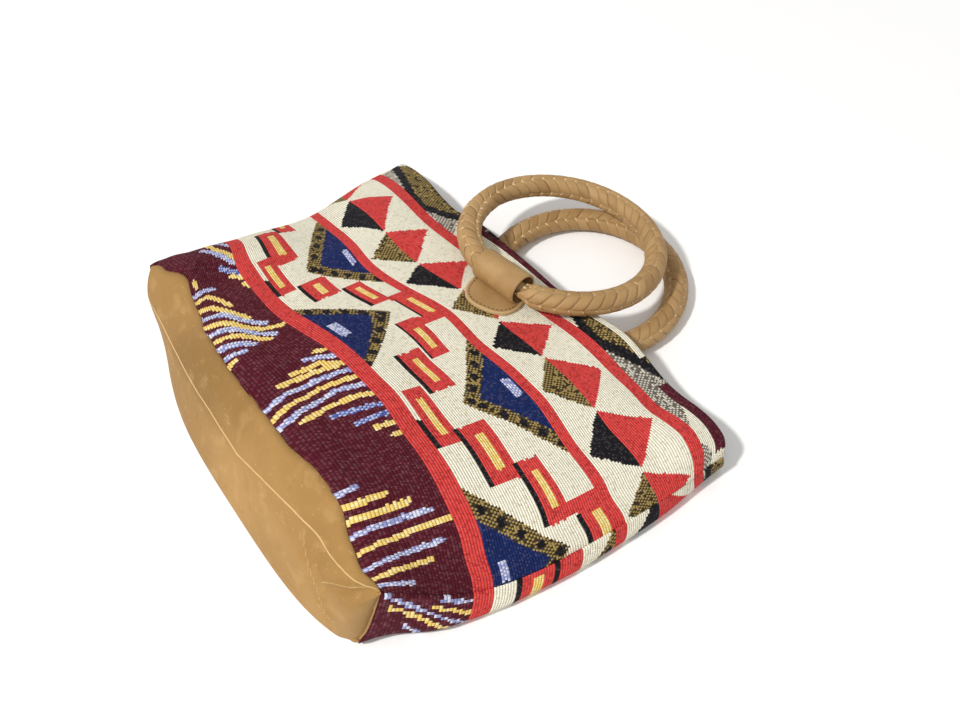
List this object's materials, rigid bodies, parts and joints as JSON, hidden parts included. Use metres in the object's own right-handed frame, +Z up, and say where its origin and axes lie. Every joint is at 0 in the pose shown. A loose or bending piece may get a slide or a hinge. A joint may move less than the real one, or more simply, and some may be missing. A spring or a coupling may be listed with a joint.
{
  "type": "tote bag",
  "caption": "Tapestry tote bag lying on its back, with a boat-shaped leather base and braided leather ring handles that swing in stitched tabs.",
  "frame": {"origin": "on the floor, under the middle of the lying bag", "axes": "+X along the mouth, +Y from the leather base to the mouth, +Z up from the back panel to the front panel"},
  "size_m": [0.436, 0.4416, 0.085],
  "materials": {
    "tapestry": "matte ribbed weave in maroon, red, cream, navy and olive",
    "base_leather": "matte tan nubuck",
    "handle_leather": "smooth tan leather with pale cut edges"
  },
  "bodies": {
    "bag": {"front_panel": "tapestry", "back_panel": "tapestry", "leather_base": "base_leather", "front_tab": "handle_leather", "back_tab": "handle_leather"},
    "front_handle": {"front_ring": "handle_leather"},
    "back_handle": {"back_ring": "handle_leather"}
  },
  "joints": [
    {"name": "front_handle_swing", "type": "hinge", "parent": "bag", "child": "front_handle", "pos_m": [0, 0.04872, 0.06199], "axis": [0.9877, 0.154, -0.0274], "range_deg": [0, 170]},
    {"name": "back_handle_swing", "type": "hinge", "parent": "bag", "child": "back_handle", "pos_m": [0.009, 0.05547, 0.01356], "axis": [1, 0, 0], "range_deg": [-150, 0]}
  ]
}
